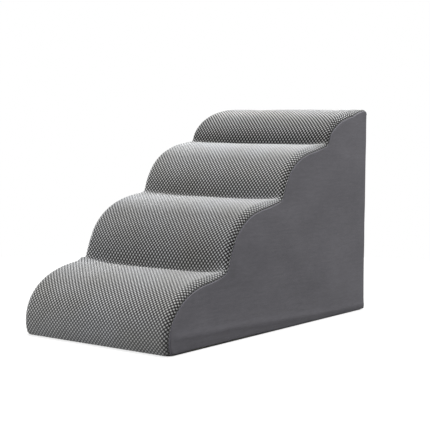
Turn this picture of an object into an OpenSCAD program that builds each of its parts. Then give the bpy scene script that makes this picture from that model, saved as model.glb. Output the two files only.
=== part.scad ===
// Foam pet stairs with four rounded steps, in a sewn cover that comes off through a zip in the back.
// X is the width, Y runs from the lowest riser to the back, and Z is up from the floor.
// The origin is on the floor, under the middle of the space that the stairs fill.

/* [Stairs] */
// Width over the two side panels
stairs_width = 400; // [320:5:480]
// Floor length under the first step, up to the second riser
run_1 = 189; // [150:1:240]
// Floor length under the second step
run_2 = 204; // [150:1:240]
// Floor length under the third step
run_3 = 187; // [150:1:240]
// Floor length under the top step, up to the back
run_4 = 182; // [150:1:240]
// Height of the first tread over the floor
rise_1 = 147; // [110:1:180]
// Height of the second riser
rise_2 = 142; // [90:1:160]
// Height of the third riser
rise_3 = 119; // [90:1:160]
// Height of the top riser
rise_4 = 82; // [74:1:160]

/* [Step shape] */
// Squareness of the rounded noses, where 2 is a quarter ellipse
nose_power = 2.3; // [2:0.1:2.8]
// How far the lowest nose hangs over its foot
nose_overhang = 7; // [4:1:16]
// Height of the lowest nose's furthest point
nose_height = 28; // [22:1:60]
// Radius of the crease between a tread and the riser behind it
crease_radius = 9; // [5:1:14]
// Radius of the top edge at the back
back_top_radius = 12; // [10:1:24]

/* [Cover] */
// Thickness of the textured tread fabric
tread_fabric = 2.6; // [1.6:0.1:3.2]
// Thickness of the smooth side fabric
side_fabric = 2; // [1.2:0.1:2.6]
// Thickness of the fabric at the back
back_fabric = 2; // [1.2:0.1:2.6]
// Thickness of the fabric underneath
base_fabric = 1.6; // [1:0.1:2.4]
// Rounding of the edge between the steps and a side
edge_radius = 18; // [14:1:19]
// Rounding of that edge where it passes a crease
crease_edge_radius = 9; // [7:0.5:12]
// Distance from a crease over which the rounding grows
crease_blend = 60; // [40:5:80]
// Rounding of the upright edges at the back
back_edge_radius = 6; // [5:1:9]
// Rounding of the side panel's edge along the floor
foot_radius = 3; // [2.8:0.1:4]
// Length in front of the back over which the rounding shrinks
edge_blend = 70; // [50:5:90]
// How far the fabric underneath stays back from the outline
base_setback = 2.5; // [1:0.5:4]
// Clearance between sewn pieces that lie edge to edge
seam_gap = 0.3; // [0.2:0.05:0.4]

/* [Foam] */
// Thickness of the soft layer over risers and treads
comfort_thickness = 12; // [8:1:16]
// Thickness of the glue between the soft layer and the slabs
glue_gap = 0.2; // [0.1:0.05:0.3]
// How far the slabs stay back from the side panels' outer faces
slab_setback = 4.2; // [4:0.1:6]

/* [Zip] */
// Distance from a side to the middle of an upright run of the zip
zip_inset = 24; // [22:1:40]
// Height of the zip's level run over the floor
zip_height = 30; // [24:1:60]
// Radius of the zip's two corners
zip_corner = 28; // [20:1:40]
// Width of the slot in the back's fabric that shows the zip
zip_slot = 12; // [11.8:0.1:14]
// Width of a tape beyond its teeth
tape_width = 12; // [8:1:14]
// Thickness of the tapes
tape_thickness = 0.6; // [0.4:0.05:0.8]
// Distance from one tooth to the next on the same tape
tooth_pitch = 4; // [3:0.1:5]
// Width over the two closed rows of teeth
chain_width = 6.2; // [5:0.1:6.4]
// Thickness of the teeth
chain_thickness = 2.4; // [2:0.1:2.8]
// Height of the fabric tabs over the zip's ends
tab_height = 18; // [12:1:26]
// Thickness of the fabric tabs
tab_thickness = 1.2; // [0.8:0.1:1.4]

/* [Slider] */
// Length of the slider
slider_length = 13; // [11:0.5:15]
// Width of the slider at its shoulders
slider_shoulder = 11; // [10:0.1:11.4]
// Width of the slider at its tail
slider_tail = 9.2; // [8.8:0.1:9.8]
// Thickness of the slider's two plates
slider_plate = 1.1; // [0.8:0.1:1.4]
// Clearance between the slider and what runs through it
slider_play = 0.25; // [0.15:0.05:0.35]
// Length of the pull from its bar to its end
pull_length = 26; // [18:1:34]
// Width of the pull
pull_width = 6.6; // [6:0.1:8]
// Thickness of the pull
pull_thickness = 1.2; // [0.8:0.1:1.4]
// Radius of the pull's bar
pull_bar_radius = 0.8; // [0.6:0.05:0.9]

/* [Hidden] */
$fn = 48;

// Steps
runs = [run_1, run_2, run_3, run_4];
rises = [rise_1, rise_2, rise_3, rise_4];
step_count = len(runs);
curve_parts = 9;
crease_parts = 4;
foot_parts = 4;
corner_parts = 4;

// How far the seams lie round the edge: 0 faces the front, up or back, and 90 faces sideways
seam_turn = 72;
back_turn = 45;
// Where the side panel's edge along the floor begins, on the same scale
foot_turn = 10;

function sum_first(list, n) = n == 0 ? 0 : list[n - 1] + sum_first(list, n - 1);
function blend(a, b, share) = a + (b - a) * min(max(share, 0), 1);

stairs_length = sum_first(runs, step_count);
stairs_height = sum_first(rises, step_count);
base_top = base_fabric + seam_gap;
cover_top = stairs_height - back_top_radius - seam_gap;

// Back of the cover, from the outer face inwards: fabric, tapes with teeth and slider, then the foam
tape_plane = stairs_length - back_fabric - seam_gap - tape_thickness / 2;
channel_half = chain_thickness / 2 + slider_play;
slider_half = channel_half + slider_plate;
foam_back = tape_plane - slider_half - slider_play;

// Bail on the slider, and the pull's bar that hangs in it
bail_width = 2.2;
bail_length = 7.6;
bail_wall = 1.4;
bail_roof = 1.1;
bail_room = 2 * pull_bar_radius + 4 * slider_play;
bail_height = bail_room + bail_roof;
pull_play = 0.1;
pull_reach = tape_plane + slider_half + bail_room / 2;

// The whole object, slider included, is centred along Y
front_reach = nose_overhang;
back_reach = tape_plane + slider_half + bail_height;
centre_shift = (front_reach - back_reach) / 2;

// Profile of the steps, as [y, z] from the floor in front to the back edge's top

function foot(k) = [sum_first(runs, k), sum_first(rises, k)];
function crease_start(rise) = asin(pow(crease_radius / rise, nose_power / 2));
function tread_end(run, kept) = acos(pow(kept / run, nose_power / 2));

function nose_curve(start, size, from, to) = [
    for (i = [0:curve_parts])
        let (t = blend(from, to, i / curve_parts))
        [
            start.x + size.x * (1 - pow(cos(t), 2 / nose_power)),
            start.y + size.y * pow(sin(t), 2 / nose_power)
        ]
];

function arc(centre, radius, from, to, parts, skip) = [
    for (i = [skip:parts])
        let (t = blend(from, to, i / parts))
        centre + radius * [cos(t), sin(t)]
];

function foot_tuck() = [
    for (i = [0:foot_parts - 1])
        let (z = blend(base_top, nose_height, i / foot_parts))
        [-nose_overhang * sin(90 * z / nose_height), z]
];

function step_curve(k) =
    k == 0
    ? nose_curve(
        [-nose_overhang, nose_height],
        [run_1 + nose_overhang, rise_1 - nose_height],
        0, tread_end(run_1 + nose_overhang, crease_radius))
    : nose_curve(
        foot(k), [runs[k], rises[k]], crease_start(rises[k]),
        tread_end(runs[k], k == step_count - 1 ? back_top_radius : crease_radius));

function crease(k) =
    let (bend = arc(foot(k) + crease_radius * [-1, 1], crease_radius, -90, 0, crease_parts, 1))
    [for (i = [0:crease_parts - 2]) bend[i]];

back_corner = arc(
    [stairs_length, stairs_height] - back_top_radius * [1, 1], back_top_radius, 90, 0, corner_parts, 1);

// Each step's points, from the crease at its foot to the end of its tread
step_points = [for (k = [0:step_count - 1]) concat(k == 0 ? foot_tuck() : crease(k), step_curve(k))];
profile = concat([for (points = step_points) each points], back_corner);
profile_last = len(profile) - 1;
function first_point(k) = k == 0 ? 0 : first_point(k - 1) + len(step_points[k - 1]);

// Directions into the body, square to the profile
function inward(a, b) = let (d = (b - a) / norm(b - a)) [d.y, -d.x];
function mitre(n1, n2) = (n1 + n2) / (1 + n1 * n2);
profile_inward = [
    for (i = [0:profile_last])
        let (
            before = inward(profile[max(i - 1, 0)], profile[max(i, 1)]),
            after = inward(profile[i], profile[min(i + 1, profile_last)])
        )
        i == profile_last ? [-1, 0] : mitre(before, after)
];

function gap_turn(radius) = asin(seam_gap / radius);
function side_turn(turn, radius) = turn + gap_turn(radius);
function from_crease(p) = min([for (k = [1:step_count - 1]) norm(p - foot(k))]);

// A rim point is [y, z, inward y, inward z, edge rounding, turn where the side panel begins].
tread_rim = [
    for (i = [0:profile_last])
        let (
            p = profile[i],
            m = profile_inward[i],
            to_back = (p.x - stairs_length + edge_blend) / (edge_blend - back_top_radius),
            side_radius = blend(crease_edge_radius, edge_radius, from_crease(p) / crease_blend),
            radius = blend(side_radius, back_edge_radius, to_back)
        )
        [p.x, p.y, m.x, m.y, radius, side_turn(blend(seam_turn, back_turn, to_back), radius)]
];
front_rim = tread_rim[0];
side_rim = concat(
    [[front_rim[0], front_rim[1], 1, foot_radius / edge_radius, edge_radius, front_rim[5]]],
    [for (i = [1:profile_last]) tread_rim[i]],
    [
        [
            stairs_length, base_top, -1, foot_radius / back_edge_radius,
            back_edge_radius, side_turn(back_turn, back_edge_radius)
        ],
        [stairs_length - edge_blend / 2, base_top, 0, 1, foot_radius, foot_turn],
        [edge_blend / 3, base_top, 0, 1, foot_radius, foot_turn]
    ]
);

// Point at a turn round the rim's rounded edge, at a depth under the outer surface
function rim_point(rim, turn, depth) =
    let (reach = rim[4] - depth, inset = rim[4] - reach * cos(turn))
    [stairs_width / 2 - rim[4] + reach * sin(turn), rim[0] + rim[2] * inset, rim[1] + rim[3] * inset];

function flip(p) = [-p.x, p.y, p.z];
function reversed(list) = [for (i = [len(list) - 1:-1:0]) list[i]];
function both_sides(points) = concat([for (p = reversed(points)) flip(p)], points);

// Places a child that is modelled with the first riser's foot at y = 0
module on_frame() {
    translate([0, centre_shift, 0]) children();
}

// Solid whose skin joins closed loops of points one after the other.
// Its two flat ends are closed by the same faces, given as places in a loop.
module lofted(loops, cap) {
    n = len(loops[0]);
    last = (len(loops) - 1) * n;
    skin = [
        for (i = [0:len(loops) - 2], j = [0:n - 1])
            let (a = i * n + j, b = i * n + (j + 1) % n)
            each [[a, b + n, b], [a, a + n, b + n]]
    ];
    end_cap = [for (face = cap) [for (j = reversed(face)) last + j]];
    polyhedron(points = [for (loop = loops) each loop], faces = concat(skin, cap, end_cap));
}

// Profile drawn as [y, z] and drawn out across the width
module across(half_width) {
    rotate([90, 0, 90]) translate([0, 0, -half_width]) linear_extrude(2 * half_width) children();
}

// Shape drawn as [x, z] and given a thickness towards the back, from the plane at y
module facing_back(y, thickness) {
    translate([0, y + thickness, 0]) rotate([90, 0, 0]) linear_extrude(thickness) children();
}

module rounded_rectangle(low, high, radius) {
    size = high - low;
    translate(low + [radius, 0]) square(size - [2 * radius, 0]);
    translate(low + [0, radius]) square(size - [0, 2 * radius]);
    for (x = [low.x + radius, high.x - radius], y = [low.y + radius, high.y - radius])
        translate([x, y]) circle(radius);
}

// Cover

cover_turn_shares = [0, 1 / 4, 1 / 2, 3 / 4, 1];
function cover_turn(rim) = rim[5] - gap_turn(rim[4]);

module tread_cover() {
    loops = [
        for (rim = tread_rim)
            let (
                outer = [for (share = cover_turn_shares) rim_point(rim, share * cover_turn(rim), 0)],
                inner = [
                    for (share = cover_turn_shares) rim_point(rim, share * cover_turn(rim), tread_fabric)
                ]
            )
            concat(both_sides(outer), reversed(both_sides(inner)))
    ];
    n = len(loops[0]);
    cap = [for (j = [0:n / 2 - 2]) each [[j, j + 1, n - 1 - j], [j + 1, n - 2 - j, n - 1 - j]]];
    color("darkgray") on_frame() lofted(loops, cap);
}

// Triangles that fill a side's flat face, fanned out from the two points on the floor line
function side_cap() =
    let (n = len(side_rim), k = first_point(1) - 1)
    concat(
        [for (j = [0:k - 1]) [n - 1, j, j + 1]],
        [[n - 1, k, n - 2]],
        [for (j = [k:n - 4]) [n - 2, j, j + 1]]
    );

side_turn_shares = [1, 1 / 2, 0];
lining_turn_shares = [0, 1 / 2, 1];

function side_loop(share, depth) = [
    for (rim = side_rim) rim_point(rim, blend(rim[5], 90, share), depth)
];

module right_side_panel() {
    loops = concat(
        [for (share = side_turn_shares) side_loop(share, 0)],
        [for (share = lining_turn_shares) side_loop(share, side_fabric)]
    );
    color("dimgray") on_frame() lofted(loops, side_cap());
}

module left_side_panel() {
    mirror([1, 0, 0]) right_side_panel();
}

base_corner = edge_radius - base_setback;

module base_panel() {
    low = [base_setback - stairs_width / 2, base_setback];
    high = [stairs_width / 2 - base_setback, stairs_length - base_setback];
    color("black") on_frame() linear_extrude(base_fabric) rounded_rectangle(low, high, base_corner);
}

// Foam

comfort_turns = [0, 45, 90];
comfort_depth = tread_fabric + seam_gap;

module comfort_layer() {
    loops = [
        for (rim = tread_rim)
            if (rim[0] <= foam_back)
                let (
                    outer = [for (turn = comfort_turns) rim_point(rim, turn, comfort_depth)],
                    inset = comfort_depth + comfort_thickness,
                    inner = [stairs_width / 2 - comfort_depth, rim[0] + rim[2] * inset, rim[1] + rim[3] * inset]
                )
                concat(both_sides(outer), [inner, flip(inner)])
    ];
    color("lightyellow") on_frame() lofted(loops, [[for (j = [0:len(loops[0]) - 1]) j]]);
}

slab_inset = comfort_depth + comfort_thickness + glue_gap;
slab_profile = [for (i = [0:profile_last]) profile[i] + profile_inward[i] * slab_inset];

// Level where one slab is glued to the next, which is the lower slab's flat top
function slab_level(k) = k == 0 ? base_top : slab_profile[first_point(k) - 1].y;

module foam_slab(k) {
    first = first_point(k);
    last = k == step_count - 1 ? profile_last - corner_parts : first_point(k + 1) - 1;
    front = slab_profile[k == 0 ? first : first - 1].x;
    top = slab_profile[last].y;
    color("wheat") on_frame() across(stairs_width / 2 - slab_setback) polygon(concat(
        [[front, slab_level(k)]],
        [for (i = [first:last]) slab_profile[i]],
        [[foam_back, top], [foam_back, slab_level(k)]]
    ));
}

module foam_slab_bottom() {
    foam_slab(0);
}

module foam_slab_second() {
    foam_slab(1);
}

module foam_slab_third() {
    foam_slab(2);
}

module foam_slab_top() {
    foam_slab(3);
}

// Route of the zip in the plane of the back: down one side, along the bottom and up the other side

leg_x = stairs_width / 2 - zip_inset;
leg_length = cover_top - zip_height - zip_corner;
bend_length = PI / 2 * zip_corner;
level_length = 2 * (leg_x - zip_corner);
route_length = 2 * (leg_length + bend_length) + level_length;
bend_parts = 12;

// Point at a distance along the route, and off to its outer side
function route_point(along, off) =
    along <= leg_length ? [-leg_x - off, cover_top - along]
    : along <= leg_length + bend_length
    ? let (t = 180 + (along - leg_length) / bend_length * 90)
        [zip_corner - leg_x, zip_height + zip_corner] + (zip_corner + off) * [cos(t), sin(t)]
    : along <= leg_length + bend_length + level_length / 2
    ? [along - leg_length - bend_length - level_length / 2, zip_height - off]
    : let (p = route_point(route_length - along, off)) [-p.x, p.y];

// Distances at which the route turns, between two of its points
function half_turns() = [for (i = [0:bend_parts]) leg_length + bend_length * i / bend_parts];
turns = concat(half_turns(), [for (along = reversed(half_turns())) route_length - along]);
function stations(from, to) = concat(
    [from], [for (along = turns) if (along > from && along < to) along], [to]);
function route_line(from, to, off) = [for (along = stations(from, to)) route_point(along, off)];
function route_band(from, to, low, high) = concat(
    route_line(from, to, low), reversed(route_line(from, to, high)));

module back_panel() {
    color("dimgray") on_frame() facing_back(stairs_length - back_fabric, back_fabric)
        polygon(route_line(0, route_length, -zip_slot / 2));
}

back_seam_reach = (back_edge_radius - side_fabric) * sin(back_turn) - seam_gap;
border_half = stairs_width / 2 - back_edge_radius + back_seam_reach;

module back_border() {
    color("dimgray") on_frame() facing_back(stairs_length - back_fabric, back_fabric)
        polygon(concat(
            route_line(0, route_length, zip_slot / 2),
            [
                [border_half, cover_top], [border_half, base_top],
                [-border_half, base_top], [-border_half, cover_top]
            ]
        ));
}

module tape(low, high) {
    color("dimgray") on_frame() facing_back(tape_plane - tape_thickness / 2, tape_thickness)
        polygon(route_band(0, route_length, low, high));
}

tape_edge = chain_width / 2 + slider_play;

module zipper_tape_outer() {
    tape(tape_edge, tape_edge + tape_width);
}

module zipper_tape_inner() {
    tape(-tape_edge - tape_width, -tape_edge);
}

// Slider's place on the closed zip, below the stops and the tab at the top of the first leg

stop_length = 3;
stop_gap = 0.3;
stop_width = chain_width * 0.3;
tab_gap = 1.2;
slider_z = cover_top - tab_height - tab_gap - stop_length - stop_gap - slider_length / 2;
chain_start = cover_top - slider_z + slider_play;
chain_end = route_length - tab_height - tab_gap - stop_length - stop_gap;
tooth_count = floor((chain_end - chain_start) / tooth_pitch);

// Outline of half the teeth, as [share of the pitch along the tape, share of half the chain's width]
tooth_shares = [
    [-0.24, 0.6], [-0.17, 0.16], [-0.225, -0.45], [0.225, -0.45], [0.17, 0.16], [0.24, 0.6]
];

// A row of teeth on its bead: side is 1 for the outer tape and -1 for the inner one
module teeth(side) {
    shift = chain_start + tooth_pitch * (side > 0 ? 0.25 : 0.75);
    edge = [
        for (k = [0:tooth_count - 1], share = tooth_shares)
            route_point(shift + (k + share[0]) * tooth_pitch, side * share[1] * chain_width / 2)
    ];
    color("darkslategray") on_frame() facing_back(tape_plane - chain_thickness / 2, chain_thickness)
        polygon(concat(edge, reversed(route_line(
            shift + tooth_shares[0][0] * tooth_pitch,
            shift + (tooth_count - 1 + tooth_shares[5][0]) * tooth_pitch,
            side * chain_width / 2))));
}

module zipper_teeth_outer() {
    teeth(1);
}

module zipper_teeth_inner() {
    teeth(-1);
}

module zipper_top_stops() {
    low = cover_top - slider_z - slider_length / 2 - stop_gap;
    color("silver") on_frame() facing_back(tape_plane - chain_thickness / 2, chain_thickness)
        for (side = [-1, 1])
            polygon(route_band(low - stop_length, low,
                side * (chain_width / 2 - stop_width), side * chain_width / 2));
}

module zipper_bottom_stop() {
    color("silver") on_frame() facing_back(tape_plane - chain_thickness / 2, chain_thickness)
        polygon(route_band(chain_end + stop_gap, chain_end + stop_gap + stop_length,
            -chain_width / 2, chain_width / 2));
}

tab_half = zip_slot / 2 + 6 * tab_thickness;
tab_corner = 2 * tab_thickness;

module zipper_end_tabs() {
    color("dimgray") on_frame() facing_back(stairs_length, tab_thickness)
        for (side = [-1, 1])
            rounded_rectangle(
                [side * leg_x - tab_half, cover_top - tab_height],
                [side * leg_x + tab_half, cover_top], tab_corner);
}

// Slider

mouth_half = chain_width / 2 + 1.2 * slider_play;
shoulder_wall = 0.9;
post_half = [chain_width / 4, slider_length / 5];
plate_corner = 1.6;

module slider_outline() {
    front = slider_length / 2;
    shoulder = slider_shoulder / 2;
    tail = slider_tail / 2;
    polygon([
        [-tail, plate_corner - front], [plate_corner - tail, -front],
        [tail - plate_corner, -front], [tail, plate_corner - front],
        [tail, 0], [shoulder, front / 2], [shoulder, front - plate_corner],
        [shoulder - plate_corner, front], [plate_corner - shoulder, front],
        [-shoulder, front - plate_corner], [-shoulder, front / 2], [-tail, 0]
    ]);
}

module slider_channel() {
    front = slider_length / 2 + slider_play;
    mouth = slider_shoulder / 2 - shoulder_wall;
    polygon([
        [-mouth_half, -front], [mouth_half, -front], [mouth_half, 0],
        [mouth, front / 2], [mouth, front], [-mouth, front], [-mouth, front / 2], [-mouth_half, 0]
    ]);
}

module bail() {
    half = bail_length / 2;
    translate([0, slider_half, 0]) rotate([90, 0, 90]) translate([0, 0, -bail_width / 2])
        linear_extrude(bail_width) difference() {
            union() {
                translate([-slider_plate / 2, -half]) square([bail_height + slider_plate / 2 - bail_wall, bail_length]);
                translate([0, bail_wall - half]) square([bail_height, bail_length - 2 * bail_wall]);
                for (z = [bail_wall - half, half - bail_wall])
                    translate([bail_height - bail_wall, z]) circle(bail_wall);
            }
            translate([0, bail_wall - half]) square([bail_room, bail_length - 2 * bail_wall]);
        }
}

module slider_body() {
    slot_half = tape_thickness / 2 + slider_play;
    for (y = [-slider_half, channel_half]) facing_back(y, slider_plate) slider_outline();
    for (y = [-channel_half, slot_half])
        facing_back(y, channel_half - slot_half) difference() {
            slider_outline();
            slider_channel();
        }
    facing_back(-channel_half, 2 * channel_half)
        translate([0, slider_length / 2 - post_half.y])
            polygon([[-post_half.x, 0], [0, -post_half.y], [post_half.x, 0], [0, post_half.y]]);
    bail();
}

module zipper_slider() {
    color("slategray") on_frame() translate([-leg_x, tape_plane, slider_z]) slider_body();
}

// Pull, hanging with its bar in the bail's lower end

pull_bar_z = slider_z - bail_length / 2 + bail_wall + pull_bar_radius + pull_play;
window_half = bail_width / 2 + 2 * slider_play;
window_length = bail_length - bail_wall - pull_bar_radius + 4 * slider_play;
pull_hole_radius = 1.4;
pull_hole_margin = 2.6;

module zipper_pull() {
    half = pull_width / 2;
    color("slategray") on_frame() translate([-leg_x, pull_reach, pull_bar_z]) {
        rotate([0, 90, 0]) cylinder(h = pull_width, r = pull_bar_radius, center = true);
        facing_back(-pull_thickness / 2, pull_thickness) difference() {
            union() {
                translate([-half, half - pull_length]) square([pull_width, pull_length - half]);
                translate([0, half - pull_length]) circle(half);
            }
            translate([-window_half, -window_length]) square([2 * window_half, window_length + pull_bar_radius]);
            translate([0, pull_hole_margin + pull_hole_radius - pull_length]) circle(pull_hole_radius);
        }
    }
}

tread_cover();
right_side_panel();
left_side_panel();
base_panel();
back_panel();
back_border();
foam_slab_bottom();
foam_slab_second();
foam_slab_third();
foam_slab_top();
comfort_layer();
zipper_tape_outer();
zipper_tape_inner();
zipper_teeth_outer();
zipper_teeth_inner();
zipper_top_stops();
zipper_bottom_stop();
zipper_end_tabs();
zipper_slider();
zipper_pull();
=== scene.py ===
"""Foam pet stairs in a sewn cover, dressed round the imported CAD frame.

Shapes are worked out in millimetres in the CAD source's directions, with y = 0 at the first
riser's foot. placed() turns them into the row frame, in metres.
"""
import math

import bmesh
import bpy
import numpy as np
from mathutils import Matrix, Vector


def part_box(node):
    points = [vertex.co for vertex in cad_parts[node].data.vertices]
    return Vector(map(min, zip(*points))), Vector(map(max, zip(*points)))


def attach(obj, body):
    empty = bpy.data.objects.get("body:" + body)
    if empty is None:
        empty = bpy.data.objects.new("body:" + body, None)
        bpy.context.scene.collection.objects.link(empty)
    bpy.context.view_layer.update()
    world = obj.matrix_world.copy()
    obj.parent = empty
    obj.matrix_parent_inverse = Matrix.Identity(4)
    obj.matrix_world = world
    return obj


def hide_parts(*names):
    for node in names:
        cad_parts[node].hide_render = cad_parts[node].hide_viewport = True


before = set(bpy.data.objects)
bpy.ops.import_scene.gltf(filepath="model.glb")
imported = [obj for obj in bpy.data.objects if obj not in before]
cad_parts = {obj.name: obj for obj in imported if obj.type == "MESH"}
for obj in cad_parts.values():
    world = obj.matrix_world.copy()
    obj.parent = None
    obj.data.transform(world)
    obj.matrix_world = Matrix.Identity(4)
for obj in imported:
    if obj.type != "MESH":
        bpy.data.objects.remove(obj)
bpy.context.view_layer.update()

scene = bpy.context.scene

# Sizes repeated from the CAD source
WIDTH = 400
RUNS = (189, 204, 187, 182)
RISES = (147, 142, 119, 82)
NOSE_POWER = 2.3
NOSE_OVERHANG = 7
NOSE_HEIGHT = 28
CREASE_RADIUS = 9
BACK_TOP_RADIUS = 12
TREAD_FABRIC = 2.6
SIDE_FABRIC = 2
BACK_FABRIC = 2
BASE_FABRIC = 1.6
EDGE_RADIUS = 18
CREASE_EDGE_RADIUS = 9
CREASE_BLEND = 60
BACK_EDGE_RADIUS = 6
FOOT_RADIUS = 3
EDGE_BLEND = 70
BASE_SETBACK = 2.5
SEAM_TURN = math.radians(72)
BACK_TURN = math.radians(45)
FOOT_TURN = math.radians(10)
SEAM_GAP = 0.3
COMFORT_THICKNESS = 12
GLUE_GAP = 0.2
SLAB_SETBACK = 4.2
ZIP_INSET = 24
ZIP_HEIGHT = 30
ZIP_CORNER = 28
ZIP_SLOT = 12
TAPE_WIDTH = 12
TAPE_THICKNESS = 0.6
CHAIN_WIDTH = 6.2
SLIDER_PLAY = 0.25
TAB_HEIGHT = 18
TAB_THICKNESS = 1.2

MM_PER_M = 1000
TAU = 2 * math.pi
LENGTH = sum(RUNS)
HEIGHT = sum(RISES)
HALF = WIDTH / 2
BASE_TOP = BASE_FABRIC + SEAM_GAP
COVER_TOP = HEIGHT - BACK_TOP_RADIUS - SEAM_GAP
COMFORT_DEPTH = TREAD_FABRIC + SEAM_GAP
SLAB_INSET = COMFORT_DEPTH + COMFORT_THICKNESS + GLUE_GAP
LEG_X = HALF - ZIP_INSET
LEG_LENGTH = COVER_TOP - ZIP_HEIGHT - ZIP_CORNER
BEND_LENGTH = math.pi / 2 * ZIP_CORNER
LEVEL_LENGTH = 2 * (LEG_X - ZIP_CORNER)
ROUTE_LENGTH = 2 * (LEG_LENGTH + BEND_LENGTH) + LEVEL_LENGTH
TAPE_PLANE = LENGTH - BACK_FABRIC - SEAM_GAP - TAPE_THICKNESS / 2
TAB_HALF = ZIP_SLOT / 2 + 6 * TAB_THICKNESS

# How far in from its edge the cloth beside the zip is stitched, and each end tab
HEM_STITCH, TAB_STITCH = 3, 2.4

# From the CAD source's directions to the row frame, along Y
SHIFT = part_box("tread_cover")[0].y * MM_PER_M + NOSE_OVERHANG
FOAM_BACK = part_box("foam_slab_bottom")[1].y * MM_PER_M - SHIFT

# Textured fabric: cells of its weave across the strip, the length of one along it, the quads
# along a cell's edge, and how high its nubs stand
CELLS_ACROSS = 46
CELL_LENGTH = 9
CELL_PARTS = 4
RELIEF = 1.6
MEAN_RELIEF = 0.45
WAVE_POWER = 0.7
RELIEF_POWER = 1.2

# How far the strip's middle is drawn down into each crease and its sewn edge bridges it, and
# how far along the strip that reaches
SAG = (8.5, 5.0, 7.5)
SAG_REACH = 19
SAG_POWER = 2.6
BRIDGE = (3.5, 2.0, 1.0)
BRIDGE_REACH = 13
EDGE_POWER = 6
STRIP_SLACK = 0.7

# How far the seam turns forward at the front's foot, and how far up that reaches
FOOT_SEAM_SHIFT = math.radians(20)
FOOT_SEAM_REACH = 110

# The fold above a side's foot: its height and depth in front, and how much less at the back
FOLD_HEIGHT, FOLD_FALL = 32, 22
TUCK_DEPTH, TUCK_FALL = 1.7, 1.1


# Shapes

def placed(points):
    """Points in mm in the CAD source's directions, turned into the row frame."""
    return (np.asarray(points, float) + (0, SHIFT, 0)) / MM_PER_M


def eased(x):
    """From 0 to 1 with soft ends."""
    x = np.clip(x, 0, 1)
    return x * x * (3 - 2 * x)


def hump(x, middle, width):
    return np.exp(-((x - middle) / width) ** 2)


def waves(a, b, seed, length, count=14):
    """Smooth unevenness from about -1 to 1 over two coordinates in mm."""
    random = np.random.default_rng(seed)
    total = 0
    for _ in range(count):
        angle, phase = random.uniform(0, TAU, 2)
        size = length * random.uniform(0.7, 1.5)
        total = total + np.sin((a * math.cos(angle) + b * math.sin(angle)) * TAU / size + phase)
    return total / math.sqrt(2 * count)


def distances(points):
    """How far along a line each of its points lies."""
    return np.concatenate([[0], np.cumsum(np.linalg.norm(np.diff(points, axis=0), axis=1))])


def between(at, along, points):
    """Points of a line at places between the ones it is given by."""
    return np.stack([np.interp(at, along, values) for values in np.transpose(points)], axis=-1)


def added(name, data):
    obj = bpy.data.objects.new(name, data)
    scene.collection.objects.link(obj)
    return obj


def make(name, points, faces, materials, uv=None, groups=None, sharp=None):
    """A closed smooth mesh from points in mm, with uv per point and groups per face."""
    mesh = bpy.data.meshes.new(name)
    mesh.from_pydata(placed(points).tolist(), [], [list(map(int, f)) for f in faces])
    if groups is not None:
        mesh.polygons.foreach_set("material_index", np.asarray(groups, np.int32))
    if uv is not None:
        corner = np.zeros(len(mesh.loops), np.int32)
        mesh.loops.foreach_get("vertex_index", corner)
        layer = mesh.uv_layers.new(name="weave")
        layer.data.foreach_set("uv", np.asarray(uv, np.float32)[corner].ravel())
    work = bmesh.new()
    work.from_mesh(mesh)
    bmesh.ops.recalc_face_normals(work, faces=work.faces)
    work.to_mesh(mesh)
    work.free()
    mesh.polygons.foreach_set("use_smooth", np.full(len(mesh.polygons), True))
    if sharp is not None:
        mesh.set_sharp_from_angle(angle=math.radians(sharp))
    for material in materials:
        mesh.materials.append(material)
    obj = added(name, mesh)
    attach(obj, "stairs")
    return obj


def circle(sides):
    t = np.arange(sides) * TAU / sides
    return np.column_stack([np.cos(t), np.sin(t)])


def level(ring, z):
    """[x, y] points lifted to a height."""
    return np.column_stack([ring, np.full(len(ring), z)])


def upright(x, line):
    """[y, z] points moved to a place across the stairs."""
    return np.column_stack([np.full(len(line), x), line])


def listed(*blocks):
    """The points of several arrays, one after another."""
    return np.concatenate([block.reshape(-1, 3) for block in blocks])


def numbered(*shape):
    return np.arange(math.prod(shape)).reshape(shape)


def grid_faces(index, closed=False):
    """Quads over a two-way array of point numbers, or triangles where two of them are one."""
    if closed:
        index = np.concatenate([index, index[:, :1]], axis=1)
    corners = [index[:-1, :-1], index[1:, :-1], index[1:, 1:], index[:-1, 1:]]
    quads = np.stack(corners, axis=-1).reshape(-1, 4)
    return [list(dict.fromkeys(q)) for q in quads.tolist() if len(set(q)) > 2]


def tube_faces(number):
    """Faces over loops of point numbers, with both ends filled."""
    return grid_faces(number, closed=True) + [number[0].tolist(), number[-1].tolist()]


def sheet_faces(number):
    """Faces of a closed sheet, where the back's points follow the front's in order."""
    rim = np.concatenate([number[0, :-1], number[:-1, -1], number[-1, :0:-1], number[:0:-1, 0]])
    faces = grid_faces(number) + grid_faces(number + number.size)
    return faces + grid_faces(np.stack([rim, rim + number.size]), closed=True)


# Outline of the steps

def foot(k):
    """[y, z] of the riser's foot behind k steps."""
    return np.array([sum(RUNS[:k]), sum(RISES[:k])], float)


def nose(start, size, low, high, count=200):
    t = np.linspace(low, high, count)
    return np.stack([start[0] + size[0] * (1 - np.cos(t) ** (2 / NOSE_POWER)),
                     start[1] + size[1] * np.sin(t) ** (2 / NOSE_POWER)], axis=1)


def arc(centre, radius, low, high, count=40):
    t = np.radians(np.linspace(low, high, count))
    return np.asarray(centre) + radius * np.stack([np.cos(t), np.sin(t)], axis=1)


def softened(points, spread):
    """Evenly spaced points of a line, with its kinks rounded off and its ends kept."""
    reach = 4 * spread
    weights = np.exp(-0.5 * (np.arange(-reach, reach + 1) / spread) ** 2)
    weights /= weights.sum()
    before = 2 * points[0] - points[reach:0:-1]
    after = 2 * points[-1] - points[-2:-reach - 2:-1]
    padded = np.concatenate([before, points, after])
    return np.stack([np.convolve(padded[:, k], weights, "valid") for k in (0, 1)], axis=1)


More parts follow.
